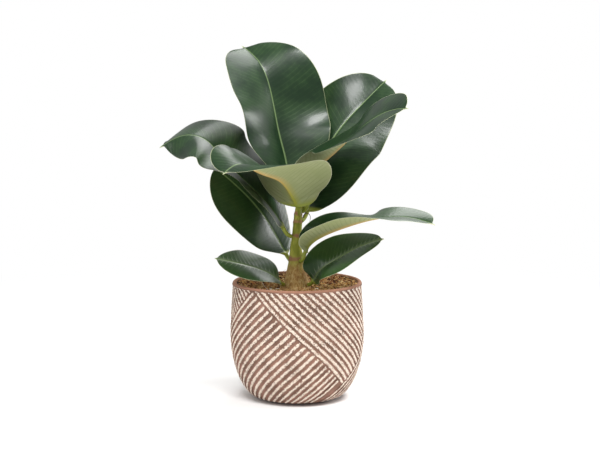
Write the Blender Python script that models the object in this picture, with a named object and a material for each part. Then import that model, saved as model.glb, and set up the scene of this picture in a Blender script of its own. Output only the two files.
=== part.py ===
"""Potted rubber plant: a ribbed round-bellied cover pot, its potting mix and a young plant.

Metres, +Z up. The origin is the centre of the pot's flat underside, +X is to the right and
+Y points away from the plant's front. The leaf table is in millimetres and degrees.
Every leaf is one solid: its stalk, its midrib and its blade. A pot, the mix in it, the stem,
nine leaves, the sheath of the next leaf and one dried sheath are the pieces.
"""
import math

import bpy
import numpy as np

GAP = 0.0003                      # clearance between touching pieces

# pot
POT_HEIGHT = 0.122
POT_WALL = 0.004
POT_FLOOR = 0.006
POT_TURNS = 56
# outer radius at each height, up to just below the lip (ribs included)
POT_OUTSIDE = [(0.038, 0.0), (0.046, 0.002), (0.053, 0.0075), (0.0595, 0.0175), (0.0645, 0.0300),
               (0.0680, 0.0440), (0.0699, 0.0600), (0.0697, 0.0780), (0.0686, 0.0980), (0.0672, 0.1185)]
LIP_ROUND = 0.0012
INNER_HEIGHTS = (0.098, 0.078, 0.060, 0.044, 0.030, 0.0185)     # rings up the inside, from the top
INNER_TURN = (0.050, 0.0095)      # where the inner wall turns into the floor
INNER_FLOOR = 0.043               # radius of the flat floor

# potting mix
MIX_CENTRE = 0.1138               # height of the surface beside the stem
MIX_DISH = 0.0055                 # how much it rises towards the wall
MIX_REACH = 0.0625                # radius at which it has risen by that much
MIX_WAVE = 0.0009
MIX_BOTTOM_GAP = 0.0004
MIX_POCKET = 0.092                # floor of the pocket that the stem's foot fills
MIX_EDGE = 0.115                  # about the height at which the surface meets the wall
MIX_RINGS = (0.0, 0.12, 0.3, 0.5, 0.7, 0.88, 1.0)               # shares of the way to the stem

# stem: centre line (x, y, z) and radius, from the buried foot to the top
STEM_POINTS = [(-0.0008, 0.0, 0.0925), (-0.0008, 0.0, 0.1160), (-0.0006, 0.0, 0.1400),
               (-0.0014, 0.0, 0.1560), (0.0000, 0.0, 0.1740), (0.0010, 0.0, 0.1900), (0.0022, 0.0, 0.2040)]
STEM_RADII = [(0.0925, 0.0160), (0.1130, 0.0160), (0.1190, 0.0138), (0.1280, 0.0114), (0.1400, 0.0089),
              (0.1520, 0.0067), (0.1620, 0.0056), (0.1760, 0.0049), (0.1900, 0.0043), (0.2040, 0.0032)]
STEM_SIDES = 20
STEM_STEPS = 26
TIP_SHEATH_LENGTH = 0.031
TIP_SHEATH_LEAN = (-0.004, 0.004)
TIP_SHEATH_RADIUS = 0.0024
STIPULE_ROOT = 0.1880             # height at which the dried sheath is held
STIPULE_POINTS = [(0.0088, 0.0008, 0.1925), (0.0117, 0.0012, 0.1922), (0.0127, 0.0012, 0.1818)]

# leaves
BLADE_THICKNESS = 0.0008
STALK_RADIUS = 0.0021
RIDGE_DEPTH = 0.0012              # how far the midrib stands out of the underside
RIDGE_WIDTH = 0.0022
STALK_BLEND = 0.05                # share of the blade over which the stalk flattens into it
STALK_OUT = 0.0030                # a stalk leaves the stem straight outwards for this far
STALK_UP = 0.0014
STALK_STAND = 0.0010              # the sloping end of a stalk stays off the stem by this much
BODY_SHARE = 0.97                 # the blade's outline closes here, and the drip tip goes on
DRIP_SHARE = 0.05
DRIP_HALF = 0.0032
POINT_HALF = 0.0004
BLADE_SHARES = (-1, -0.7, -0.35, -0.06, 0, 0.06, 0.35, 0.7, 1)
STALK_STEPS = 5
BLADE_STEPS = 19
SLOPE_REACH = 0.002               # the midrib's direction is taken over this much each way

# height and turn: where the stalk leaves the stem (mm, degrees from +X)
# midrib: the rest of the stalk and midrib up to the tip (mm)
# faces: where the upper side points at the base, the middle and the tip
# left, right: how far each half is folded up at the base, the middle and the tip
LEAVES = {
    "top_leaf": dict(
        height=204, turn=140, stalk=13, half=63, skew=1.15, blunt=0.5, curl=-10,
        midrib=[(-10, 15, 232), (-19, 24, 274), (-26, 32, 309), (-38, 43, 345), (-59, 67, 365)],
        faces=[(0.3, -0.85, 0.4), (0.35, -0.75, -0.55), (0.4, -0.75, 0.55)],
        left=(34, 38, 12), right=(34, -6, 18)),
    "front_leaf": dict(
        height=193, turn=-80, stalk=17, half=56, skew=0.8, blunt=0.55, curl=-8,
        midrib=[(-1, -21, 205), (-15, -45, 229), (-39, -80, 243), (-53, -95, 251), (-70, -121, 244)],
        faces=[(0.15, 0.35, 0.95), (0.35, 0.35, 0.9), (-0.4, -0.7, 0.6)],
        left=(30, 22, -12), right=(8, 24, 4)),
    "right_leaf": dict(
        height=195, turn=-40, stalk=14, half=42, skew=1.1, blunt=0.5, curl=-8,
        midrib=[(10, -14, 227), (29, -13, 249), (59, -31, 278), (88, -45, 299), (109, -68, 304)],
        faces=[(-0.45, -0.2, 0.9), (-0.6, -0.1, 0.8), (-0.2, -0.5, 0.85)],
        left=(60, 4, 26), right=(80, 14, 0)),
    "back_right_leaf": dict(
        height=184, turn=50, stalk=14, half=55, skew=1, blunt=0.5, curl=-8,
        midrib=[(11, 12, 194), (22, 23, 232), (41, 46, 272), (68, 59, 302), (97, 84, 329)],
        faces=[(-0.45, -0.85, 0.3), (-0.3, -0.8, 0.5), (-0.2, -0.9, 0.4)],
        left=(10, -8, 32), right=(6, -4, 14)),
    "left_leaf": dict(
        height=169, turn=-150, stalk=14, half=55, skew=1.3, blunt=0.5, curl=-8,
        midrib=[(-15, -8, 180), (-37, -15, 211), (-55, -16, 229), (-78, -17, 253), (-92, -18, 269),
                (-110, -19, 275), (-140, -18, 262)],
        faces=[(0.3, -0.3, 0.9), (-0.25, -0.15, 0.95), (-0.05, -0.55, 0.85)],
        left=(-10, 11, -34), right=(3, 17, -34)),
    "lower_left_leaf": dict(
        height=140, turn=120, stalk=12, half=41, skew=1.1, blunt=0.55, curl=-8,
        midrib=[(-16, 18, 155), (-33, 9, 186), (-59, 4, 217), (-88, 12, 241)],
        faces=[(0.7, -0.5, 0.5), (0.35, -0.8, 0.5), (0.3, -0.9, 0.3)],
        left=(-6, 6, 2), right=(10, -4, 8)),
    "side_leaf": dict(
        height=144, turn=-62, stalk=13, half=35, skew=0.95, blunt=0.45, curl=-8,
        midrib=[(8, -12, 153), (24, -22, 171), (48, -38, 183), (78, -51, 193), (108, -54, 195),
                (137, -68, 189)],
        faces=[(-0.6, -0.4, 0.65), (0.1, 0, 1), (0.25, -0.3, 0.9)],
        left=(56, 10, 28), right=(54, 10, 2)),
    "small_right_leaf": dict(
        height=119, turn=-35, stalk=7, half=31, skew=0.85, blunt=0.55, curl=-5,
        midrib=[(21, -14, 131), (39, -23, 147), (64, -31, 162), (88, -37, 171)],
        faces=[(-0.2, -0.6, 0.7), (-0.1, -0.5, 0.9), (-0.1, -0.4, 0.9)],
        left=(35, 10, 0), right=(25, 10, 0)),
    "small_left_leaf": dict(
        height=119, turn=-150, stalk=7, half=25, skew=0.9, blunt=0.55, curl=-5,
        midrib=[(-20, -13, 125), (-34, -19, 135), (-58, -28, 144), (-84, -30, 150)],
        faces=[(0.2, -0.5, 0.8), (0.2, -0.5, 0.9), (0.1, -0.6, 0.8)],
        left=(20, 5, 0), right=(15, 0, 0)),
}

COLOURS = {                       # linear colour, roughness
    "terracotta_and_cream": ((0.42, 0.27, 0.20), 0.85),
    "coir_mix": ((0.14, 0.06, 0.03), 0.95),
    "bark": ((0.38, 0.27, 0.11), 0.7),
    "leaf_green": ((0.022, 0.055, 0.026), 0.28),
    "sheath_green": ((0.22, 0.20, 0.06), 0.45),
    "dry_sheath": ((0.05, 0.03, 0.02), 0.8),
}


def clear_scene():
    for thing in list(bpy.data.objects):
        bpy.data.objects.remove(thing, do_unlink=True)


def make_materials():
    made = {}
    for name, (colour, roughness) in COLOURS.items():
        material = bpy.data.materials.new(name)
        material.use_nodes = True
        shader = material.node_tree.nodes["Principled BSDF"]
        shader.inputs["Base Color"].default_value = (*colour, 1.0)
        shader.inputs["Roughness"].default_value = roughness
        shader.inputs["Metallic"].default_value = 0.0
        made[name] = material
    return made


def add_solid(name, points, faces, material):
    mesh = bpy.data.meshes.new(name)
    mesh.from_pydata([tuple(p) for p in points], [], faces)
    mesh.materials.append(material)
    mesh.validate()
    solid = bpy.data.objects.new(name, mesh)
    bpy.context.scene.collection.objects.link(solid)
    return solid


def skin(rings, turned_sides=()):
    """Closed skin of triangles over a stack of equal rings, with a fan on each end.

    The rings run anticlockwise when seen from the last ring towards the first one.
    On the turned sides the diagonal runs the other way, so that the two faces of a thin
    twisted blade are split alike and stay apart.
    """
    rings = np.asarray(rings, float)
    layers, sides = rings.shape[:2]
    points = rings.reshape(-1, 3).tolist()
    faces = []
    for layer in range(layers - 1):
        for side in range(sides):
            a = layer * sides + side
            b = layer * sides + (side + 1) % sides
            if side in turned_sides:
                faces.append((a, b, a + sides))
                faces.append((b, b + sides, a + sides))
            else:
                faces.append((a, b, b + sides))
                faces.append((a, b + sides, a + sides))
    first, last = len(points), len(points) + 1
    points.append(rings[0].mean(axis=0).tolist())
    points.append(rings[-1].mean(axis=0).tolist())
    top = (layers - 1) * sides
    for side in range(sides):
        nxt = (side + 1) % sides
        faces.append((first, nxt, side))
        faces.append((last, top + side, top + nxt))
    return points, faces


def unit(rows):
    return rows / np.linalg.norm(rows, axis=-1, keepdims=True)


def smooth_path(points):
    """Natural cubic spline through hand-set points: close-set places, and the run up to each."""
    points = np.asarray(points, float)
    gaps = np.linalg.norm(np.diff(points, axis=0), axis=1)
    knots = np.concatenate(([0.0], np.cumsum(gaps)))
    count = len(points)
    matrix = np.eye(count)
    pull = np.zeros((count, 3))
    for k in range(1, count - 1):
        before, after = gaps[k - 1], gaps[k]
        matrix[k, k - 1:k + 2] = before, 2 * (before + after), after
        pull[k] = 6 * ((points[k + 1] - points[k]) / after - (points[k] - points[k - 1]) / before)
    bend = np.linalg.solve(matrix, pull)
    fine = np.linspace(0.0, knots[-1], 600)
    k = np.clip(np.searchsorted(knots, fine, side="right") - 1, 0, count - 2)
    span = gaps[k][:, None]
    a = (knots[k + 1] - fine)[:, None] / span
    b = 1.0 - a
    path = a * points[k] + b * points[k + 1]
    path += ((a**3 - a) * bend[k] + (b**3 - b) * bend[k + 1]) * span**2 / 6
    steps = np.linalg.norm(np.diff(path, axis=0), axis=1)
    return path, np.concatenate(([0.0], np.cumsum(steps)))


def on_path(path, run, distance):
    return np.stack([np.interp(distance, run, path[:, axis]) for axis in range(3)], axis=1)


def through(values, t):
    """Smooth curve through a value at the base, the middle and the tip."""
    base, middle, tip = [np.asarray(value, float) for value in values]
    if base.ndim:
        t = t[:, None]
    return base * (1 - t) * (1 - 2 * t) + middle * 4 * t * (1 - t) + tip * t * (2 * t - 1)


def stem_centre(height):
    points = np.array(STEM_POINTS)
    return np.array([np.interp(height, points[:, 2], points[:, 0]),
                     np.interp(height, points[:, 2], points[:, 1]), height])


def stem_radius(height):
    heights, radii = zip(*STEM_RADII)
    return np.interp(height, heights, radii)


def midrib_points(leaf):
    """The stalk leaves the stem straight outwards, then turns into the listed points."""
    height = leaf["height"] / 1000
    turn = math.radians(leaf["turn"])
    outward = np.array([math.cos(turn), math.sin(turn), 0.0])
    root = stem_centre(height) + outward * (stem_radius(height) + GAP + STALK_STAND)
    knee = root + outward * STALK_OUT + np.array([0.0, 0.0, STALK_UP])
    return [root, knee] + [np.array(point) / 1000 for point in leaf["midrib"]]


def half_width(t, leaf):
    """Half the blade's width: a blunt oval that ends in a small drip tip."""
    oval = np.sin(math.pi * np.clip(t / BODY_SHARE, 0, 1) ** leaf["skew"]) ** leaf["blunt"]
    drip = np.where(t > 0.8, DRIP_HALF * np.clip((1 - t) / DRIP_SHARE, 0, 1), 0.0)
    return np.maximum(leaf["half"] / 1000 * oval, drip)


def leaf_rings(leaf):
    path, run = smooth_path(midrib_points(leaf))
    stalk = leaf["stalk"] / 1000
    blade = run[-1] - stalk
    along_stalk = np.linspace(-stalk / blade, 0.0, STALK_STEPS)[:-1]
    along_blade = 0.5 - 0.5 * np.cos(math.pi * np.linspace(0, 1, BLADE_STEPS))
    station = np.concatenate((along_stalk, along_blade))
    t = np.clip(station, 0, 1)
    at = stalk + blade * station
    centre = on_path(path, run, at)
    ahead = np.minimum(at + SLOPE_REACH, run[-1])
    behind = np.maximum(at - SLOPE_REACH, 0)
    along = unit(on_path(path, run, ahead) - on_path(path, run, behind))
    upward = through(leaf["faces"], t)
    upward = unit(upward - (upward * along).sum(axis=1, keepdims=True) * along)
    aside = np.cross(along, upward)

    flat = np.clip(t / STALK_BLEND, 0, 1)
    flat = flat * flat * (3 - 2 * flat)
    width = np.maximum(half_width(t, leaf), STALK_RADIUS * (1 - flat) + POINT_HALF * flat)
    thick = BLADE_THICKNESS / 2 + (STALK_RADIUS - BLADE_THICKNESS / 2) * (1 - flat)
    ridge = RIDGE_DEPTH * flat * (1 - 0.8 * t)
    open_tip = np.clip((1 - t) / DRIP_SHARE, 0, 1)
    curl = math.radians(leaf["curl"])
    upper, lower = [], []
    for share in BLADE_SHARES:
        side = -1 if share < 0 else 1
        reach = abs(share)
        fold = np.radians(through(leaf["left" if share < 0 else "right"], t)) * flat * open_tip
        turned = curl * flat
        start = fold - turned / 2
        middle = start + turned * reach / 2
        out = np.cos(middle) * reach
        rise = np.sin(middle) * reach
        tilt = (start + turned * reach) * min(1.0, reach / 0.1)
        place = centre + (side * width * out)[:, None] * aside + (width * rise)[:, None] * upward
        normal = np.cos(tilt)[:, None] * upward - side * np.sin(tilt)[:, None] * aside
        cap = math.sqrt(max(0.0, 1 - share * share))
        hump = ridge * np.exp(-(share * width / RIDGE_WIDTH) ** 2)
        upper.append(place + (thick * cap)[:, None] * normal)
        if reach < 1:
            lower.append(place - (thick * cap + hump)[:, None] * normal)
    ring = lower[::-1] + upper
    return np.stack(ring, axis=1)


def make_leaf(name, leaf, material):
    rings = leaf_rings(leaf)
    under_count = len(BLADE_SHARES) - 2
    under_sides = {*range(under_count), rings.shape[1] - 1}
    points, faces = skin(rings, under_sides)
    return add_solid(name, points, faces, material)


def make_stem(material):
    heights = np.linspace(STEM_RADII[0][0], STEM_RADII[-1][0], STEM_STEPS)
    rings = []
    for height in heights:
        centre = stem_centre(height)
        radius = stem_radius(height)
        turns = np.linspace(0, 2 * math.pi, STEM_SIDES, endpoint=False)
        rings.append([centre + radius * np.array([math.cos(a), math.sin(a), 0.0]) for a in turns])
    points, faces = skin(rings)
    return add_solid("stem", points, faces, material)


def make_growing_tip(material):
    """The rolled sheath of the next leaf: a slender pointed spindle on top of the stem."""
    base = stem_centre(STEM_POINTS[-1][2]) + np.array([0.0, 0.0, GAP])
    rings = []
    for share in np.linspace(0, 1, 12):
        swell = 0.75 + 0.9 * share * (1 - share)
        radius = max(TIP_SHEATH_RADIUS * swell * (1 - share**3), 0.0002)
        centre = base + share * np.array([*TIP_SHEATH_LEAN, TIP_SHEATH_LENGTH])
        turns = np.linspace(0, 2 * math.pi, 12, endpoint=False)
        rings.append([centre + radius * np.array([math.cos(a), math.sin(a), 0.0]) for a in turns])
    points, faces = skin(rings)
    return add_solid("growing_tip", points, faces, material)


def make_dried_stipule(material):
    """A thin dry sheath remnant that hangs beside the stem."""
    root = stem_centre(STIPULE_ROOT) + np.array([stem_radius(STIPULE_ROOT) + 2 * GAP, 0.0, 0.0])
    path, run = smooth_path([root] + [np.array(point) for point in STIPULE_POINTS])
    share = np.linspace(0, 1, 12)
    centre = on_path(path, run, run[-1] * share)
    along = unit(np.gradient(centre, axis=0))
    level = np.array([0.0, 1.0, 0.0])
    aside = unit(np.cross(along, level))
    radius = 0.0004 * (1 - 0.6 * share)
    turns = np.linspace(0, 2 * math.pi, 8, endpoint=False)
    rings = []
    for a in turns:
        rings.append(centre + radius[:, None] * (math.cos(a) * level + math.sin(a) * aside))
    points, faces = skin(np.stack(rings, axis=1))
    return add_solid("dried_stipule", points, faces, material)


def pot_inside(height):
    heights = [z for _, z in POT_OUTSIDE] + [POT_HEIGHT]
    radii = [r for r, _ in POT_OUTSIDE] + [POT_OUTSIDE[-1][0]]
    return np.interp(height, heights, radii) - POT_WALL


def turned_solid(name, profile, material, sides):
    """Solid of revolution: the profile runs from the axis, round the outside, back to the axis."""
    rings = []
    turns = np.linspace(0, 2 * math.pi, sides, endpoint=False)
    for radius, height in profile[1:-1]:
        rings.append([(radius * math.cos(a), radius * math.sin(a), height) for a in turns])
    points, faces = skin(rings)
    points[-2] = (0.0, 0.0, profile[0][1])
    points[-1] = (0.0, 0.0, profile[-1][1])
    return add_solid(name, points, faces, material)


def make_pot(material):
    outer = POT_OUTSIDE[-1][0]
    lip = [(outer - LIP_ROUND * 0.3, POT_HEIGHT - LIP_ROUND), (outer - LIP_ROUND, POT_HEIGHT),
           (outer - POT_WALL + LIP_ROUND, POT_HEIGHT), (outer - POT_WALL, POT_HEIGHT - LIP_ROUND)]
    inner = [(pot_inside(z), z) for z in INNER_HEIGHTS]
    inner += [INNER_TURN, (INNER_FLOOR, POT_FLOOR)]
    profile = [(0.0, 0.0)] + POT_OUTSIDE + lip + inner + [(0.0, POT_FLOOR)]
    return turned_solid("pot", profile, material, POT_TURNS)


def mix_height(x, y):
    reach = math.hypot(x, y) / MIX_REACH
    wave = math.sin(95 * x + 1.3) * math.cos(120 * y - 0.6)
    return MIX_CENTRE + MIX_DISH * reach**2 + MIX_WAVE * wave * min(1.0, reach * 1.5)


def make_mix(material):
    """The potting mix: a fill of the pot with an uneven top and a pocket for the stem's foot."""
    turns = np.linspace(0, 2 * math.pi, POT_TURNS, endpoint=False)
    circle = np.stack([np.cos(turns), np.sin(turns)], axis=1)

    def level_ring(radius, height, centre_x=0.0):
        return [(centre_x + radius * c, radius * s, height) for c, s in circle]

    floor = POT_FLOOR + MIX_BOTTOM_GAP
    turn_radius, turn_height = INNER_TURN
    rings = [level_ring(INNER_FLOOR - 0.001, floor),
             level_ring(turn_radius - 0.0008, turn_height + MIX_BOTTOM_GAP)]
    for z in reversed(INNER_HEIGHTS):
        rings.append(level_ring(pot_inside(z) - GAP, z))
    edge = pot_inside(MIX_EDGE) - GAP
    foot = STEM_RADII[0][1] + GAP
    foot_x = STEM_POINTS[0][0]
    for share in MIX_RINGS:
        radius = edge + (foot - edge) * share
        ring = level_ring(radius, 0.0, foot_x * share)
        rings.append([(x, y, mix_height(x, y)) for x, y, _ in ring])
    rings.append(level_ring(foot, MIX_POCKET, foot_x))
    points, faces = skin(rings)
    return add_solid("potting_soil", points, faces, material)


def main():
    clear_scene()
    materials = make_materials()
    make_pot(materials["terracotta_and_cream"])
    make_mix(materials["coir_mix"])
    make_stem(materials["bark"])
    for name, leaf in LEAVES.items():
        make_leaf(name, leaf, materials["leaf_green"])
    make_growing_tip(materials["sheath_green"])
    make_dried_stipule(materials["dry_sheath"])


main()
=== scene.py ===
# %% [markdown]
# # A potted rubber plant
# A young rubber plant stands in a ribbed, round-bellied ceramic pot. The measured frame holds
# its plain solids, and this lesson dresses each of them: first the camera and the light, then
# the pot and its ribs, the potting mix, the stem, and last the nine leaves. Everything is in
# metres, with the centre of the pot's underside at the origin and the front facing -Y.

# %% Frame
import math

import bpy
import numpy as np
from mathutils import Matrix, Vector


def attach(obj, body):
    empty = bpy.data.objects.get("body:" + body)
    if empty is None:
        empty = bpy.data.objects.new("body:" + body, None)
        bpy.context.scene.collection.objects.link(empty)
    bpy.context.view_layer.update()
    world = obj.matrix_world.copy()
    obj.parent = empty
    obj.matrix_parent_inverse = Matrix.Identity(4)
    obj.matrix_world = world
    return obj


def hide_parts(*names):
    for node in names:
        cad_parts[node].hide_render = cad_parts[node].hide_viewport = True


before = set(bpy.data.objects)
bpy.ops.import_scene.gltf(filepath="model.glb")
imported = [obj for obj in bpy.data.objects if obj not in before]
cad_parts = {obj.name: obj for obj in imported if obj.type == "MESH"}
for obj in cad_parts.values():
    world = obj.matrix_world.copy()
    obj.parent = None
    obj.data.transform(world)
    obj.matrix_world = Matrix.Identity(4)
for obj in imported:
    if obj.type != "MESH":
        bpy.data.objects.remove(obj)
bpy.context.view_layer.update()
scene = bpy.context.scene

# %% [markdown]
# ## Camera, floor and light
# A plant like this is shown from a little above the rim of its pot, with a long lens, so that
# upright things stay upright. The floor is a wide pale disc. It could be a plain white plane,
# but its far part has to melt into the white surroundings, so it glows more and more away from
# the plant. Large soft boxes make the broad pale streaks on the leaves' gloss.

# %% Camera
CAMERA_PLACE = (0.003, -1.46, 0.36)
CAMERA_AIM = (0.003, 0.0, 0.1805)


def turned_towards(thing, place, aim):
    thing.location = place
    thing.rotation_euler = (Vector(aim) - Vector(place)).to_track_quat("-Z", "Y").to_euler()
    scene.collection.objects.link(thing)


camera = bpy.data.objects.new("camera", bpy.data.cameras.new("camera"))
camera.data.lens = 85
camera.data.sensor_width = 36
turned_towards(camera, CAMERA_PLACE, CAMERA_AIM)
scene.camera = camera
scene.view_settings.view_transform = "Standard"
print("camera:", round((Vector(CAMERA_PLACE) - Vector(CAMERA_AIM)).length, 3), "m away")

# %% [markdown]
# ## Writing nodes as sums
# A material or a geometry tree is a net of nodes. Wiring each one by hand hides the idea behind
# dozens of lines, so a small class stands for one socket, and a sum on it adds the Math nodes.
# Every other kind of node comes from one method that takes its kind, its settings and what
# goes into its sockets.


# %% Wires
class Wire:
    """One socket of a node tree, which can be used in sums."""

    def __init__(self, tree, socket):
        self.tree = tree
        self.socket = socket

    def maths(self, operation, *values):
        return self.tree.put("ShaderNodeMath", {"operation": operation}, dict(enumerate(values)))

    def also(self, name):
        """Another output of the node that this wire comes from."""
        return Wire(self.tree, self.socket.node.outputs[name])

    def __add__(self, other):
        return self.maths("ADD", self, other)

    def __sub__(self, other):
        return self.maths("SUBTRACT", self, other)

    def __rsub__(self, other):
        return self.maths("SUBTRACT", other, self)

    def __mul__(self, other):
        return self.maths("MULTIPLY", self, other)

    def __truediv__(self, other):
        return self.maths("DIVIDE", self, other)

    def __pow__(self, other):
        return self.maths("POWER", self, other)

    __radd__ = __add__
    __rmul__ = __mul__

    def least(self, other):
        return self.maths("MINIMUM", self, other)

    def most(self, other):
        return self.maths("MAXIMUM", self, other)

    def step(self, low, high):
        """0 below low, 1 above high, and a smooth slope between them."""
        return self.tree.put("ShaderNodeMapRange", {"interpolation_type": "SMOOTHSTEP"},
                             {"Value": self, "From Min": low, "From Max": high})


# %% Trees
class Tree:
    """A node tree that is filled by calling put()."""

    def __init__(self, nodes):
        self.nodes = nodes

    def put(self, kind, settings=None, sockets=None, out=0):
        node = self.nodes.nodes.new(kind)
        for name, value in (settings or {}).items():
            if name == "stops":
                self.set_stops(node.color_ramp, value)
            else:
                setattr(node, name, value)
        for name, value in (sockets or {}).items():
            if isinstance(value, Wire):
                self.nodes.links.new(value.socket, node.inputs[name])
            else:
                node.inputs[name].default_value = value
        return Wire(self, node.outputs[out]) if len(node.outputs) else None

    def set_stops(self, ramp, stops):
        while len(ramp.elements) < len(stops):
            ramp.elements.new(1.0)
        for element, (place, colour) in zip(ramp.elements, stops):
            element.position = place
            element.color = (*colour, 1.0)

    def number(self, name):
        """A number that the mesh carries at each point."""
        return self.put("ShaderNodeAttribute", {"attribute_name": name}, out="Fac")

    def place(self):
        return self.put("ShaderNodeTexCoord", out="Object")

    def split(self, place):
        """The X of a place. Its also() gives Y and Z."""
        return self.put("ShaderNodeSeparateXYZ", {}, {0: place})

    def join(self, x, y, z=0.0):
        return self.put("ShaderNodeCombineXYZ", {}, {"X": x, "Y": y, "Z": z})

    def push(self, shape, direction, amount):
        """Moves each point of a shape so far in a direction."""
        offset = self.put("ShaderNodeVectorMath", {"operation": "SCALE"},
                          {0: direction, "Scale": amount})
        return self.put("GeometryNodeSetPosition", {}, {"Geometry": shape, "Offset": offset})

    def write(self, shape, name, value):
        """Gives each point of a shape its own number."""
        return self.put("GeometryNodeStoreNamedAttribute", {},
                        {"Geometry": shape, "Name": name, "Value": value})

    def noise(self, place, scale, detail=3.0, rough=0.6):
        return self.put("ShaderNodeTexNoise", {},
                        {"Vector": place, "Scale": scale, "Detail": detail, "Roughness": rough})

    def mix(self, share, first, second):
        """A colour between two colours."""
        ends = {6: first if isinstance(first, Wire) else (*first, 1.0),
                7: second if isinstance(second, Wire) else (*second, 1.0)}
        return self.put("ShaderNodeMix", {"data_type": "RGBA"}, {0: share, **ends}, out=2)

    def bump(self, height, distance, strength=1.0):
        return self.put("ShaderNodeBump", {},
                        {"Height": height, "Distance": distance, "Strength": strength})


# %% Starting and ending a finish
def start_finish(name):
    made = bpy.data.materials.new(name)
    made.use_nodes = True
    made.node_tree.nodes.clear()
    return made, Tree(made.node_tree)


def end_finish(tree, sockets):
    shader = tree.put("ShaderNodeBsdfPrincipled", {}, sockets)
    tree.put("ShaderNodeOutputMaterial", {}, {"Surface": shader})
    print("finish:", len(tree.nodes.nodes), "nodes")


# %% Floor
FLOOR_RADIUS = 6.0
FLOOR_SIDES = 64
GLOW_START, GLOW_FULL = 0.12, 0.9  # distances from the plant


def circle(count):
    """The cosine and sine of evenly spaced angles."""
    return [(math.cos(a), math.sin(a)) for a in np.linspace(0, 2 * math.pi, count, endpoint=False)]


floor_finish, tree = start_finish("floor_white")
spot = tree.put("ShaderNodeVectorMath", {"operation": "LENGTH"}, {0: tree.place()}, out="Value")
glow = spot.step(GLOW_START, GLOW_FULL)
end_finish(tree, {"Base Color": tree.mix(glow, (0.9, 0.9, 0.9), (0.0, 0.0, 0.0)), "Roughness": 0.9,
                  "Specular IOR Level": 0.0, "Emission Strength": 1.0,
                  "Emission Color": tree.mix(glow, (0.0, 0.0, 0.0), (1.0, 1.0, 1.0))})
floor_mesh = bpy.data.meshes.new("floor")
rim = [(FLOOR_RADIUS * c, FLOOR_RADIUS * s, 0.0) for c, s in circle(FLOOR_SIDES)]
floor_mesh.from_pydata(rim, [], [tuple(range(FLOOR_SIDES))])
floor_mesh.materials.append(floor_finish)
floor = bpy.data.objects.new("floor", floor_mesh)
scene.collection.objects.link(floor)

# %% Light
SURROUNDINGS = 0.5  # their light on the plant; the camera sees them at 1
world = bpy.data.worlds.new("studio")
world.use_nodes = True
world.node_tree.nodes.clear()
tree = Tree(world.node_tree)
seen = tree.put("ShaderNodeLightPath")
tree.put("ShaderNodeOutputWorld", {}, {"Surface": tree.put("ShaderNodeBackground", {}, {
    "Color": (1.0, 1.0, 1.0, 1.0), "Strength": seen * (1.0 - SURROUNDINGS) + SURROUNDINGS})})
scene.world = world

# name, place, aim, width, height, power
SOFT_BOXES = [("right_box", (0.82, -0.10, 1.64), (0.0, 0.0, 0.27), 0.5, 0.5, 20.0),
              ("front_box", (-0.05, -0.90, 1.60), (0.0, 0.0, 0.27), 0.9, 0.3, 24.0),
              ("side_box", (1.25, 0.55, 0.46), (0.0, 0.0, 0.25), 0.22, 0.5, 5.0),
              ("left_box", (-1.25, -0.35, 0.75), (0.0, 0.0, 0.25), 0.3, 1.2, 3.0),
              ("back_box", (0.5, 1.3, 1.3), (0.0, 0.0, 0.2), 0.9, 0.9, 9.0)]
for name, place, aim, width, height, power in SOFT_BOXES:
    lamp = bpy.data.lights.new(name, "AREA")
    lamp.shape = "RECTANGLE"
    lamp.size = width
    lamp.size_y = height
    lamp.energy = power
    turned_towards(bpy.data.objects.new(name, lamp), place, aim)
print("light:", len(SOFT_BOXES), "soft boxes")

# %% [markdown]
# ## Growing a shape from a rule
# The pot, its ribs, the bark and the coir all follow a rule, so Geometry Nodes make them. Each
# tree takes a small base mesh and named sizes. The result is kept as a plain mesh and the tree
# goes, because a moving or exported model needs finished faces, not a recipe.


# %% Trees that make meshes
SOCKET_KINDS = {int: "NodeSocketInt", float: "NodeSocketFloat",
                bpy.types.Material: "NodeSocketMaterial"}


def start_tree(name, sizes):
    """A geometry tree, with a named input for each size. Gives the tree and its inputs."""
    group = bpy.data.node_groups.new(name, "GeometryNodeTree")
    face = group.interface
    face.new_socket("Base", in_out="INPUT", socket_type="NodeSocketGeometry")
    for label, value in sizes.items():
        face.new_socket(label, in_out="INPUT", socket_type=SOCKET_KINDS[type(value)])
    face.new_socket("Mesh", in_out="OUTPUT", socket_type="NodeSocketGeometry")
    tree = Tree(group)
    way_in = group.nodes.new("NodeGroupInput")
    return tree, {socket.name: Wire(tree, socket) for socket in way_in.outputs if socket.name}


def end_tree(tree, shape, finish):
    solid = tree.put("GeometryNodeRealizeInstances", {}, {0: shape})
    smooth = tree.put("GeometryNodeSetShadeSmooth", {}, {0: solid})
    painted = tree.put("GeometryNodeSetMaterial", {}, {"Geometry": smooth, "Material": finish})
    tree.put("NodeGroupOutput", {}, {0: painted})


# %% Keeping a piece
def signed_volume(mesh):
    mesh.calc_loop_triangles()
    places = np.zeros(len(mesh.vertices) * 3)
    mesh.vertices.foreach_get("co", places)
    corners = np.zeros(len(mesh.loop_triangles) * 3, int)
    mesh.loop_triangles.foreach_get("vertices", corners)
    a, b, c = places.reshape(-1, 3)[corners.reshape(-1, 3)].transpose(1, 0, 2)
    return float((a * np.cross(b, c)).sum() / 6)


def keep(name, mesh, nodes=()):
    """The finished piece: faces outwards, on the frame's one body, in place of these solids."""
    if signed_volume(mesh) < 0:
        mesh.flip_normals()
    piece = bpy.data.objects.new(name, mesh)
    scene.collection.objects.link(piece)
    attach(piece, "root")
    if nodes:
        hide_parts(*nodes)
    low, high = np.array(piece.bound_box).min(0), np.array(piece.bound_box).max(0)
    print(f"{name}: {len(mesh.loop_triangles)} triangles, {np.round((high - low) * 1000, 1)} mm")


# %% Making and growing meshes
def skin_mesh(name, points, faces, finish):
    mesh = bpy.data.meshes.new(name)
    mesh.from_pydata(points, [], faces)
    mesh.materials.append(finish)
    mesh.shade_smooth()
    return mesh


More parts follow.
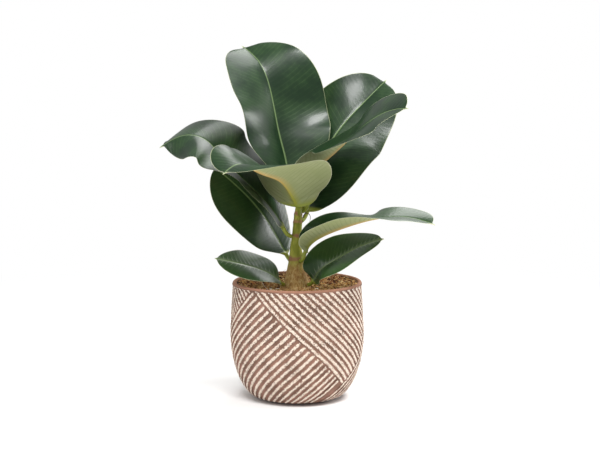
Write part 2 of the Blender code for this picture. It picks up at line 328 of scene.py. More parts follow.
def carry(mesh, label, values):
    """Gives each point of a mesh its own number."""
    mesh.attributes.new(label, "FLOAT", "POINT").data.foreach_set("value", np.array(values, "f"))


def grow(name, tree, sizes, points, edges=(), faces=(), numbers=None):
    """Runs a tree on a small base mesh and gives the finished mesh."""
    base = bpy.data.meshes.new(name + "_base")
    base.from_pydata([tuple(point) for point in points], list(edges), list(faces))
    for label, values in (numbers or {}).items():
        carry(base, label, values)
    holder = bpy.data.objects.new(name + "_base", base)
    modifier = holder.modifiers.new("grow", "NODES")
    modifier.node_group = tree.nodes
    for item in tree.nodes.interface.items_tree:
        if item.in_out == "INPUT" and item.name in sizes:
            modifier[item.identifier] = sizes[item.name]
    scene.collection.objects.link(holder)
    bpy.context.view_layer.update()
    grown = holder.evaluated_get(bpy.context.evaluated_depsgraph_get())
    mesh = bpy.data.meshes.new_from_object(grown)
    mesh.name = name
    holder.modifiers.clear()
    bpy.data.objects.remove(holder)
    return mesh


def line_edges(count):
    return [(k, k + 1) for k in range(count - 1)]


# %% [markdown]
# ## The pot's ceramic
# The real pot is cast in terracotta-brown ceramic, and its raised ribs are dry-brushed with
# cream paint, which catches on the tops and skips the hollows. One finish serves the wall and
# the ribs: each rib carries a number that rises from 0 at its foot to 1 at its crest, and the
# cream starts where that number and some fine noise add up high enough.

# %% Terracotta and cream
RIM_FOOT, RIM_FULL = 0.1195, 0.1207  # heights between which the plain rim's colour sets in
pot_finish, tree = start_finish("terracotta_and_cream")
place = tree.place()
crest = tree.number("rise")
speck = tree.noise(place, 900.0, 4.0, 0.75)
grit = tree.noise(place, 640.0, 3.0, 0.6)
patch = tree.noise(place, 70.0, 3.0, 0.6)
height = tree.split(place).also("Z")
clay = tree.mix(patch.step(0.35, 0.65), (0.20, 0.11, 0.078), (0.32, 0.175, 0.128))
clay = tree.mix(height.step(RIM_FOOT, RIM_FULL), clay, (0.34, 0.17, 0.11))
cream = tree.mix(speck.step(0.3, 0.7), (0.70, 0.53, 0.41), (0.90, 0.82, 0.72))
brushed = (crest + (speck - 0.5) * 0.8 + (grit - 0.5) * 2.0 + (patch - 0.5) * 0.4).step(0.60, 0.84)
end_finish(tree, {"Base Color": tree.mix(brushed, clay, cream), "Roughness": 0.85,
                  "Specular IOR Level": 0.3,
                  "Normal": tree.bump(speck + grit * 0.8 + brushed * 0.5, 0.00045, 0.9)})

# %% [markdown]
# ## The pot's wall
# A cast pot is a turned shape. A Screw modifier could turn its outline, but a tree keeps the
# sizes as named inputs: a grid's rows are the outline's points, its columns are turned round the
# axis, and the points that meet at the axis and at the seam are merged. The outline runs from
# the centre of the underside, up the outside, over the lip and down the inside.

# %% Outline of the pot
POT_HEIGHT = 0.122
POT_WALL = 0.004
POT_FLOOR = 0.006
RIB_HEIGHT = 0.0010
FADE_AT_RIM = 0.001  # the grooves run out over these lengths
FADE_AT_FOOT = 0.012
INSIDE_END = 0.016  # height where the inner wall turns into the floor
# (radius, height) up the outside, (offset from the outside's last radius, height) over the lip
POT_OUTSIDE = [(0.038, 0.0), (0.046, 0.002), (0.053, 0.0075), (0.0595, 0.0175),
               (0.0645, 0.0300), (0.0680, 0.0440), (0.0699, 0.0600), (0.0697, 0.0780),
               (0.0686, 0.0980), (0.0672, 0.1185), (0.0671, 0.1199)]
LIP = [(0.0002, 0.1203), (0.0001, 0.1208), (-0.0002, 0.1213), (-0.0008, 0.1218),
       (-0.0016, POT_HEIGHT), (-0.0025, POT_HEIGHT), (-0.0033, 0.1216), (-0.0038, 0.1208)]
INNER_FOOT = [(0.050, 0.0095), (0.043, POT_FLOOR), (0.0, POT_FLOOR)]


# %% Smooth paths
def smooth_path(points, count=600):
    """Natural cubic spline through given points: close-set places, and the run up to each."""
    points = np.asarray(points, float)
    gaps = np.linalg.norm(np.diff(points, axis=0), axis=1)
    knots = np.concatenate(([0.0], np.cumsum(gaps)))
    last = len(points) - 1
    matrix = np.eye(last + 1)
    pull = np.zeros(points.shape)
    for k in range(1, last):
        before, after = gaps[k - 1], gaps[k]
        matrix[k, k - 1:k + 2] = before, 2 * (before + after), after
        pull[k] = 6 * ((points[k + 1] - points[k]) / after - (points[k] - points[k - 1]) / before)
    bend = np.linalg.solve(matrix, pull)
    fine = np.linspace(0.0, knots[-1], count)
    k = np.clip(np.searchsorted(knots, fine, side="right") - 1, 0, last - 1)
    span = gaps[k][:, None]
    a = (knots[k + 1] - fine)[:, None] / span
    b = 1.0 - a
    path = a * points[k] + b * points[k + 1]
    path += ((a**3 - a) * bend[k] + (b**3 - b) * bend[k + 1]) * span**2 / 6
    steps = np.linalg.norm(np.diff(path, axis=0), axis=1)
    return path, np.concatenate(([0.0], np.cumsum(steps)))


# %% The whole outline
belly, belly_run = smooth_path(POT_OUTSIDE, 90)
slope = np.gradient(belly, axis=0)
slope /= np.linalg.norm(slope, axis=1, keepdims=True)
sunk = RIB_HEIGHT * np.clip((belly_run[-1] - belly_run) / FADE_AT_RIM, 0, 1)
sunk *= np.clip(belly_run / FADE_AT_FOOT, 0, 1)
groove = belly - sunk[:, None] * np.stack([slope[:, 1], -slope[:, 0]], axis=1)
lip = [(POT_OUTSIDE[-1][0] + aside, z) for aside, z in LIP]
inside = [(radius - POT_WALL, z) for radius, z in belly[::-3] if z > INSIDE_END]
outline = [(0.0, 0.0), *groove, *lip, *inside, *INNER_FOOT]
print("outline:", len(outline), "points")

# %% Turned wall
wall_sizes = {"Turns": 160, "Finish": pot_finish}
tree, given = start_tree("turned_wall", wall_sizes)
rows = len(outline)
grid = tree.put("GeometryNodeMeshGrid", {}, {"Vertices X": given["Turns"] + 1, "Vertices Y": rows})
index = tree.put("GeometryNodeInputIndex")
column = index.maths("FLOOR", (index + 0.5) / rows)
row = index - column * rows
point = tree.put("GeometryNodeSampleIndex", {"data_type": "FLOAT_VECTOR"}, {
    "Geometry": given["Base"], "Value": tree.put("GeometryNodeInputPosition"),
    "Index": row + 0.5})
part = tree.split(point)
turn = column / given["Turns"] * (2 * math.pi)
turned = tree.join(part * turn.maths("COSINE", turn), part * turn.maths("SINE", turn),
                   part.also("Z"))
wall = tree.put("GeometryNodeSetPosition", {}, {"Geometry": grid, "Position": turned})
wall = tree.put("GeometryNodeMergeByDistance", {}, {"Geometry": wall, "Distance": 0.00001})
end_tree(tree, wall, given["Finish"])
wall_mesh = grow("pot_wall", tree, wall_sizes, [(r, 0.0, z) for r, z in outline], line_edges(rows))
keep("pot_wall", wall_mesh, ["pot"])

# %% [markdown]
# ## The pot's ribs
# The ribs run slantwise in two sets that meet at sharp corners, twice round the pot. Unrolled,
# the wall is a flat band: one set slopes down to the right from the rim, and below each apex on
# the rim the other set slopes down to the left. So each rib is planned as a straight line on
# that band, by its number alone, and then a rounded bar is bent onto the wall along it. Carving
# grooves into the wall would need millions of faces, and bump alone would leave a smooth edge
# against the light.

# %% Rib layout
REPEAT = math.pi * 0.070  # unrolled length from one apex on the rim to the next
APEX_TURN = math.radians(-38.5)  # the first apex, to the left of the front
SLANT = 1.09  # how far round a rib runs for each metre down the wall
down_the_wall = groove[::-1]
wall_length = float(np.linalg.norm(np.diff(down_the_wall, axis=0), axis=1).sum())
rib_sizes = {"Right ribs": 26, "Left ribs": 22, "Right pitch": REPEAT / 26.4,
             "Left pitch": REPEAT / 2 / 23, "Slant": SLANT, "Rib width": 0.0042,
             "Rib height": RIB_HEIGHT + 0.00005,
             "Bedding": 0.0012,  # how deep a rib is set into the wall
             "End rounding": 0.0016,
             "Start": -0.0010,  # below the rim; negative, so ribs run up under it
             "Bottom": wall_length - 0.009, "Gap": 0.0024, "Segments": 100, "Finish": pot_finish}
tree, given = start_tree("slanted_ribs", rib_sizes)
profile = tree.put("GeometryNodeMeshToCurve", {}, {0: given["Base"]})


# %% Bars on the wall
def laid_on_wall(tree, given, bars, start, end):
    """Bends unit bars onto the wall, each along its own line from start to end (u, v)."""
    bar = tree.split(tree.put("GeometryNodeInputPosition"))
    run_u, run_v = end[0] - start[0], end[1] - start[1]
    length = (run_u * run_u + run_v * run_v) ** 0.5
    share = bar.also("Z") + 0.5
    from_end = (share.least(1.0 - share) * length / given["End rounding"]).least(1.0)
    rounded = from_end.maths("SINE", from_end * (math.pi / 2))
    middle_u, middle_v = start[0] + run_u * share, start[1] + run_v * share
    waver = tree.noise(tree.join(middle_u, middle_v), 560.0, 2.0, 0.5) - 0.5
    thick = given["Rib width"] * (1.0 + waver * 0.8) * (0.72 + 0.28 * rounded)
    aside = bar * thick
    u = middle_u - run_v / length * aside
    v = middle_v + run_u / length * aside
    crest = bar.also("Y").most(0.0) * 2.0
    sunk = bar.also("Y").least(0.0) * given["Bedding"]
    lift = crest ** 0.8 * given["Rib height"] * (0.95 + waver * 0.6) * rounded + sunk
    on_wall = tree.put("GeometryNodeSampleCurve", {"mode": "LENGTH"},
                       {"Curves": profile, "Length": v}, out="Position")
    spot, down = tree.split(on_wall), tree.split(on_wall.also("Tangent"))
    radius = spot - down.also("Z") * lift
    height = spot.also("Z") + down * lift
    turn = u * (math.pi / REPEAT) + APEX_TURN
    place = tree.join(radius * turn.maths("SINE", turn),
                      radius * turn.maths("COSINE", turn) * -1.0, height)
    bars = tree.write(bars, "rise", crest * rounded)
    return tree.put("GeometryNodeSetPosition", {}, {"Geometry": bars, "Position": place})


def unit_bars(tree, count, segments):
    """So many unit bars on top of each other, each numbered."""
    line = tree.put("GeometryNodeMeshLine", {}, {"Count": count, "Offset": (0.0, 0.0, 0.0)})
    line = tree.write(line, "number", tree.put("GeometryNodeInputIndex"))
    bar = tree.put("GeometryNodeMeshCylinder", {}, {
        "Vertices": 8, "Side Segments": segments, "Radius": 0.5, "Depth": 1.0})
    bars = tree.put("GeometryNodeInstanceOnPoints", {}, {"Points": line, "Instance": bar})
    return tree.put("GeometryNodeRealizeInstances", {}, {0: bars})


# %% The two sets of ribs
number = tree.put("GeometryNodeInputNamedAttribute", {}, {"Name": "number"})
sets = []
for label in ("Right", "Left"):
    count, pitch = given[label + " ribs"], given[label + " pitch"]
    second = number.maths("FLOOR", (number + 0.5) / count)
    along = (number - second * count) * pitch
    turned = second * REPEAT
    if label == "Right":
        top = given["Start"]
        foot = ((REPEAT - along) / given["Slant"] / 2 - given["Gap"] * 0.7).most(top + 0.0015)
        start = (turned + along + top * given["Slant"], top)
        end = (turned + along + foot * given["Slant"], foot)
    else:
        top = (along / given["Slant"] + given["Gap"] * 0.7).most(given["Start"])
        foot = given["Bottom"]
        start = (turned + along * 2 - top * given["Slant"], top)
        end = (turned + along * 2 - foot * given["Slant"], foot)
    bars = unit_bars(tree, count * 2, given["Segments"])
    sets.append(laid_on_wall(tree, given, bars, start, end))
ribs = tree.put("GeometryNodeJoinGeometry", {}, {0: sets[0]})
tree.nodes.links.new(sets[1].socket, ribs.socket.node.inputs[0])
end_tree(tree, ribs, given["Finish"])
rib_mesh = grow("pot_ribs", tree, rib_sizes, [(r, 0.0, z) for r, z in down_the_wall],
                line_edges(len(down_the_wall)))
keep("pot_ribs", rib_mesh, ["pot"])

# %% [markdown]
# ## The potting mix
# The mix is coir: brown chips and golden fibres, with a few white roots on top. Its body is a
# plain uneven fill. The chips and fibres lie on it by the thousand, so trees scatter them with a
# fixed seed: a chip is a small squashed ball with twenty faces, and a fibre is a thin bent strand
# with a few dozen. A displaced surface alone would look like mud.

# %% Coir finishes
coir_finish, tree = start_finish("coir_chips")
tone = tree.number("tone")
grain = tree.noise(tree.place(), 700.0, 3.0, 0.7)
colour = tree.put("ShaderNodeValToRGB", {"stops": [
    (0.0, (0.025, 0.010, 0.006)), (0.25, (0.13, 0.045, 0.020)), (0.48, (0.38, 0.16, 0.065)),
    (0.72, (0.60, 0.36, 0.13)), (1.0, (0.80, 0.62, 0.34))]}, {0: tone + (grain - 0.5) * 0.5})
end_finish(tree, {"Base Color": colour, "Roughness": 0.95, "Specular IOR Level": 0.2,
                  "Normal": tree.bump(grain, 0.0004)})

fill_finish, tree = start_finish("coir_fill")
grain = tree.noise(tree.place(), 420.0, 5.0, 0.75)
colour = tree.mix(grain.step(0.4, 0.7), (0.016, 0.007, 0.004), (0.11, 0.045, 0.02))
end_finish(tree, {"Base Color": colour, "Roughness": 0.95, "Specular IOR Level": 0.2,
                  "Normal": tree.bump(grain, 0.0012)})

root_finish, tree = start_finish("fine_root")
grain = tree.noise(tree.place(), 300.0)
end_finish(tree, {"Base Color": tree.mix(grain, (0.62, 0.55, 0.42), (0.85, 0.82, 0.74)),
                  "Roughness": 0.6})

# %% Surface of the mix
MIX_CENTRE = 0.1138  # height of the surface beside the stem
MIX_DISH = 0.0055  # how much it rises towards the wall
MIX_WAVE = 0.0009
MIX_CLODS = 0.0007
MIX_EDGE = 0.0625  # radius at which the dish reaches its full height
MIX_REACH = 0.0631  # radius of the surface
MIX_FOOT = 0.0151  # the hole that the stem stands in, its centre and its floor
MIX_CENTRE_X = -0.0008
MIX_HOLE_FLOOR = 0.1095
# (radius, height) down the side that lies against the pot
MIX_SHELL = [(0.0627, 0.1130), (0.0640, 0.0980), (0.0655, 0.0780), (0.0655, 0.0600),
             (0.0636, 0.0440), (0.0601, 0.0300), (0.0552, 0.0185), (0.0490, 0.0100),
             (0.0420, 0.0064)]
TURNS = 160


def mix_height(x, y):
    reach = np.hypot(x, y) / MIX_EDGE
    wave = np.sin(95 * x + 1.3) * np.cos(120 * y - 0.6)
    clods = np.sin(410 * x + 130 * y) * np.sin(370 * y - 90 * x + 2.0)
    clods *= np.clip((1 - reach) * 6, 0, 1)
    lumps = MIX_WAVE * wave * np.minimum(1.0, reach * 1.5) + MIX_CLODS * clods
    return MIX_CENTRE + MIX_DISH * reach**2 + lumps


def disc(radii, turns):
    """Rings of points on the mix, and the quads between them."""
    points, quads = [], []
    for layer, radius in enumerate(radii):
        share = (radii[0] - radius) / (radii[0] - radii[-1])
        for c, s in circle(turns):
            x, y = MIX_CENTRE_X * share + radius * c, radius * s
            points.append((x, y, float(mix_height(x, y))))
        if layer:
            for k in range(turns):
                a, b = (layer - 1) * turns + k, (layer - 1) * turns + (k + 1) % turns
                quads.append((a, b, b + turns, a + turns))
    return points, quads


# %% Body of the mix
points, quads = disc(np.linspace(MIX_REACH, MIX_FOOT, 44), TURNS)
top_count = len(points)
points += [(radius * c, radius * s, z) for radius, z in MIX_SHELL for c, s in circle(TURNS)]
points += [(MIX_CENTRE_X + MIX_FOOT * c, MIX_FOOT * s, MIX_HOLE_FLOOR) for c, s in circle(TURNS)]
last = len(points) - TURNS
for k in range(TURNS):
    nxt = (k + 1) % TURNS
    for layer in range(len(MIX_SHELL)):
        above = top_count + (layer - 1) * TURNS if layer else 0
        below = top_count + layer * TURNS
        quads.append((above + k, below + k, below + nxt, above + nxt))
    inner = top_count - TURNS
    quads.append((inner + k, inner + nxt, last + nxt, last + k))
quads.append(tuple(range(last, last + TURNS)))
quads.append(tuple(range(last - 1, last - 1 - TURNS, -1)))
fill_mesh = skin_mesh("mix_body", points, quads, fill_finish)
keep("mix_body", fill_mesh, ["potting_soil"])

# %% Scattering
CHIP_SMALLEST, CHIP_LARGEST = (0.0008, 0.0005, 0.0004), (0.0037, 0.0019, 0.0012)
CHIP_TILT = 0.7
FIBRE_SHORTEST, FIBRE_LONGEST = 0.003, 0.012
FIBRE_BEND = 2.2  # angle of its arc
FIBRE_TILT = 1.1
FIBRE_LIFT = 0.0006  # the fibres lie on the chips
bed_points, bed_quads = disc(np.linspace(0.0616, 0.0158, 24), 96)


def random_value(tree, kind, low, high, seed):
    ends = {"FLOAT": (2, 3, 1), "FLOAT_VECTOR": (0, 1, 0)}[kind]
    return tree.put("FunctionNodeRandomValue", {"data_type": kind},
                    {ends[0]: low, ends[1]: high, "Seed": seed}, out=ends[2])


def scatter(tree, given, thing, low, high, tilt, darkest=0.0):
    """Many turned and sized copies of a thing on the base, each with its own tone."""
    points = tree.put("GeometryNodeDistributePointsOnFaces", {}, {
        "Mesh": given["Base"], "Density": given["Density"], "Seed": given["Seed"]})
    points = tree.write(points, "tone", random_value(tree, "FLOAT", darkest, 1.0, 11))
    spin = random_value(tree, "FLOAT_VECTOR", (-tilt, -tilt, 0.0), (tilt, tilt, 2 * math.pi), 12)
    size = random_value(tree, "FLOAT_VECTOR", low, high, 13)
    return tree.put("GeometryNodeInstanceOnPoints", {}, {
        "Points": points, "Instance": thing, "Rotation": spin, "Scale": size})


def shaken(tree, shape, scale, amount):
    """Moves every point a little, so that no two pieces are alike."""
    here = tree.put("GeometryNodeInputPosition")
    noise = tree.put("ShaderNodeTexNoise", {},
                     {"Vector": here, "Scale": scale, "Detail": 2.0}, out=1)
    push = tree.put("ShaderNodeVectorMath", {"operation": "SUBTRACT"},
                    {0: noise, 1: (0.5, 0.5, 0.5)})
    return tree.push(shape, push, amount)


# %% Chips
chip_sizes = {"Density": 150000.0, "Seed": 4, "Finish": coir_finish}
tree, given = start_tree("scattered_chips", chip_sizes)
ball = tree.put("GeometryNodeMeshIcoSphere", {}, {"Radius": 1.0, "Subdivisions": 1})
chips = scatter(tree, given, ball, CHIP_SMALLEST, CHIP_LARGEST, CHIP_TILT)
chips = tree.put("GeometryNodeRealizeInstances", {}, {0: chips})
end_tree(tree, shaken(tree, chips, 420.0, 0.0016), given["Finish"])
keep("coir_chips", grow("coir_chips", tree, chip_sizes, bed_points, faces=bed_quads),
     ["potting_soil"])

# %% Fibres
fibre_sizes = {"Density": 100000.0, "Seed": 9, "Strand": 0.00016, "Finish": coir_finish}
tree, given = start_tree("scattered_fibres", fibre_sizes)
strand = tree.put("GeometryNodeCurveArc", {"mode": "RADIUS"}, {
    "Resolution": 7, "Radius": 0.5, "Start Angle": 0.0, "Sweep Angle": FIBRE_BEND})
profile = tree.put("GeometryNodeCurvePrimitiveCircle", {},
                   {"Resolution": 3, "Radius": given["Strand"]})
strands = scatter(tree, given, strand, (FIBRE_SHORTEST,) * 3, (FIBRE_LONGEST,) * 3, FIBRE_TILT,
                  darkest=0.4)
strands = tree.put("GeometryNodeRealizeInstances", {}, {0: strands})
strands = shaken(tree, strands, 260.0, 0.0045)
strands = tree.put("GeometryNodeCurveToMesh", {}, {
    "Curve": strands, "Profile Curve": profile, "Fill Caps": True})
end_tree(tree, strands, given["Finish"])
fibre_mesh = grow("coir_fibres", tree, fibre_sizes,
                  [(x, y, z + FIBRE_LIFT) for x, y, z in bed_points], faces=bed_quads)
keep("coir_fibres", fibre_mesh, ["potting_soil"])

# %% [markdown]
# ## The stem, the rolled tip and the dry sheath
# The stem is golden, cork-speckled bark at its flared foot and turns olive and smooth towards
# the top, with soft pinkish-brown rings where leaves grow from it. All of these are tubes
# along a path, so one tree draws them: it takes a line of points that carry their own radius,
# and puts a ring of faces round it. The rings are a number on that line; the colour changes with
# height.

# %% Tube tree
TUBE_SIZES = {"Sides": 40, "Bark depth": 0.0, "Bark scale": 300.0, "Finish": pot_finish}
tube_tree, given = start_tree("tube_on_a_path", TUBE_SIZES)
line = tube_tree.put("GeometryNodeMeshToCurve", {}, {0: given["Base"]})
own = tube_tree.put("GeometryNodeInputNamedAttribute", {}, {"Name": "girth"})
around = tube_tree.put("GeometryNodeCurvePrimitiveCircle", {},
                       {"Resolution": given["Sides"], "Radius": 1.0})
tube = tube_tree.put("GeometryNodeCurveToMesh", {}, {
    "Curve": line, "Profile Curve": around, "Scale": own, "Fill Caps": True})
here = tube_tree.put("GeometryNodeInputPosition")
rough = tube_tree.noise(here, given["Bark scale"], 4.0, 0.6) - 0.5
outward = tube_tree.put("GeometryNodeInputNormal")
tube = tube_tree.push(tube, outward, rough * given["Bark depth"])
end_tree(tube_tree, tube, given["Finish"])

# %% Bark finish
bark_finish, tree = start_finish("bark")
place = tree.place()
height = tree.split(place).also("Z")
stretched = tree.put("ShaderNodeMapping", {}, {0: place, "Scale": (1.0, 1.0, 0.45)})
cork = tree.noise(stretched, 620.0, 4.0, 0.7)
patch = tree.noise(stretched, 120.0, 3.0, 0.6)
old = tree.put("ShaderNodeValToRGB", {"stops": [
    (0.30, (0.16, 0.07, 0.022)), (0.43, (0.42, 0.22, 0.07)), (0.55, (0.60, 0.40, 0.15)),
    (0.68, (0.80, 0.66, 0.38))]}, {0: cork * 0.75 + patch * 0.25})
young = tree.mix(patch.step(0.35, 0.65), (0.25, 0.27, 0.03), (0.46, 0.45, 0.075))
colour = tree.mix((height + (patch - 0.5) * 0.02).step(0.131, 0.149), old, young)
ring = tree.number("node_ring")
mark = (ring + (cork - 0.5) * 0.7 + (patch - 0.5) * 2.0).step(0.2, 1.1)
colour = tree.mix(mark, colour, (0.34, 0.17, 0.085))
end_finish(tree, {"Base Color": colour, "Roughness": 0.7, "Specular IOR Level": 0.35,
                  "Normal": tree.bump(cork + ring * 0.5, 0.0004, 0.9)})

# %% Line of the stem
STEM_POINTS = [(-0.0008, 0.0, 0.0925), (-0.0008, 0.0, 0.1160), (-0.0006, 0.0, 0.1400),
               (-0.0014, 0.0, 0.1560), (0.0000, 0.0, 0.1740), (0.0010, 0.0, 0.1900),
               (0.0022, 0.0, 0.2040)]
# (height, radius)
STEM_RADII = [(0.0925, 0.0160), (0.1130, 0.0160), (0.1190, 0.0138), (0.1280, 0.0114),
              (0.1400, 0.0089), (0.1520, 0.0067), (0.1620, 0.0056), (0.1760, 0.0049),
              (0.1900, 0.0043), (0.2040, 0.0032)]
BUD_RINGS = (0.1460, 0.1700, 0.1845, 0.1930)  # heights of the soft marks where leaves grow
RING_SPREAD = 0.0028
BARK_SHARE = 0.985  # the bark's roughness brings it up to the plain stem's radius
SMALL_GAP = 0.0003  # what two pieces that meet keep between them


def stem_centre(height):
    points = np.array(STEM_POINTS)
    x, y = [np.interp(height, points[:, 2], points[:, axis]) for axis in (0, 1)]
    return np.stack([x, y, height], axis=-1)


def stem_radius(height):
    heights, radii = zip(*STEM_RADII)
    return np.interp(height, heights, radii)


# %% Bark
heights = np.linspace(STEM_RADII[0][0] + SMALL_GAP, STEM_RADII[-1][0], 260)
nearness = sum(np.exp(-((heights - ring) / RING_SPREAD) ** 2) for ring in BUD_RINGS)
swelling = sum(np.exp(-((heights - ring + 0.0012) / 0.0016) ** 2) for ring in BUD_RINGS)
girth = stem_radius(heights) * BARK_SHARE + 0.00045 * swelling - 0.0001 * nearness
stem_sizes = {**TUBE_SIZES, "Sides": 72, "Bark depth": 0.0006, "Finish": bark_finish}
stem_mesh = grow("stem_bark", tube_tree, stem_sizes, stem_centre(heights),
                 line_edges(len(heights)),
                 numbers={"girth": girth, "node_ring": np.clip(nearness, 0, 1)})
keep("stem_bark", stem_mesh, ["stem"])

# %% Rolled tip
tip_finish, tree = start_finish("rolled_sheath")
place = tree.place()
height = tree.split(place).also("Z")
blush = tree.noise(place, 160.0)
colour = tree.mix(height.step(0.204, 0.232), (0.26, 0.27, 0.06), (0.30, 0.12, 0.05))
end_finish(tree, {"Base Color": tree.mix(blush.step(0.4, 0.7), colour, (0.17, 0.20, 0.05)),
                  "Roughness": 0.4, "Normal": tree.bump(blush, 0.0003)})
TIP_RADIUS = 0.0024
TIP_REACH = (-0.004, 0.004, 0.031)  # from its foot to its point
TIP_RIPPLE = 0.00012  # the turns of the rolled sheath
share = np.linspace(0, 1, 80)
tip_base = stem_centre(STEM_POINTS[-1][2]) + np.array([0.0, 0.0, SMALL_GAP])
tip_line = tip_base + share[:, None] * np.array(TIP_REACH)
tip_girth = TIP_RADIUS * (0.75 + 0.9 * share * (1 - share)) * (1 - share**3)
tip_girth += TIP_RIPPLE * np.sin(share * 40) * (1 - share)
tip_sizes = {**TUBE_SIZES, "Sides": 28, "Finish": tip_finish}
tip_mesh = grow("rolled_tip", tube_tree, tip_sizes, tip_line, line_edges(len(share)),
                numbers={"girth": np.maximum(tip_girth, 0.0002)})
keep("rolled_tip", tip_mesh, ["growing_tip"])

# %% Dry sheath
dry_finish, tree = start_finish("dry_sheath")
grain = tree.noise(tree.place(), 900.0)
end_finish(tree, {"Base Color": tree.mix(grain, (0.03, 0.016, 0.01), (0.12, 0.065, 0.035)),
                  "Roughness": 0.8, "Normal": tree.bump(grain, 0.0002)})
DRY_HEIGHT = 0.1880  # where it hangs on the stem
dry_root = stem_centre(DRY_HEIGHT)
dry_root += np.array([stem_radius(DRY_HEIGHT) + 0.0006, 0.0, 0.0])
dry_line, _ = smooth_path([dry_root, (0.0088, 0.0008, 0.1925), (0.0117, 0.0012, 0.1922),
                           (0.0127, 0.0012, 0.1818)], 60)
dry_sizes = {**TUBE_SIZES, "Sides": 10, "Bark depth": 0.0003, "Bark scale": 900.0,
             "Finish": dry_finish}
dry_mesh = grow("dry_sheath_strip", tube_tree, dry_sizes, dry_line, line_edges(60),
                numbers={"girth": np.linspace(0.0005, 0.00018, 60)})
keep("dry_sheath_strip", dry_mesh, ["dried_stipule"])

# %% Fine roots
ROOTS = [[(-0.024, -0.047, 0.1175), (-0.027, -0.052, 0.1215), (-0.0265, -0.058, 0.1225)],
         [(-0.018, -0.050, 0.1175), (-0.0215, -0.054, 0.1222), (-0.017, -0.060, 0.1235)],
         [(-0.026, -0.040, 0.1165), (-0.033, -0.044, 0.1235), (-0.036, -0.046, 0.1290)],
         [(-0.021, -0.043, 0.1165), (-0.028, -0.047, 0.1215), (-0.020, -0.052, 0.1195)],
         [(0.018, -0.040, 0.1165), (0.020, -0.044, 0.1215), (0.024, -0.044, 0.1180)]]
points, edges, girth = [], [], []
for route in ROOTS:
    curve, _ = smooth_path(route, 24)
    edges += [(len(points) + a, len(points) + b) for a, b in line_edges(len(curve))]
    points += list(curve)
    girth += list(np.linspace(0.00030, 0.00012, len(curve)))
root_sizes = {**TUBE_SIZES, "Sides": 6, "Finish": root_finish}
root_mesh = grow("fine_roots", tube_tree, root_sizes, points, edges, numbers={"girth": girth})
keep("fine_roots", root_mesh, ["potting_soil"])

# %% [markdown]
# ## The leaves
# Each leaf is one thick leathery blade on a short stalk, folded a little along its midrib and
# bent along its length. A flat card with a bend would lose the gloss that runs along the fold, so
# each leaf is lofted: a ring of points goes over the upper side and back under the lower side at
# every station of the midrib. The table holds the same numbers as the frame's solids, so the
# fine leaf lies exactly where the plain one was. Every point also carries where it is on the
# leaf, so that the veins can follow the blade.

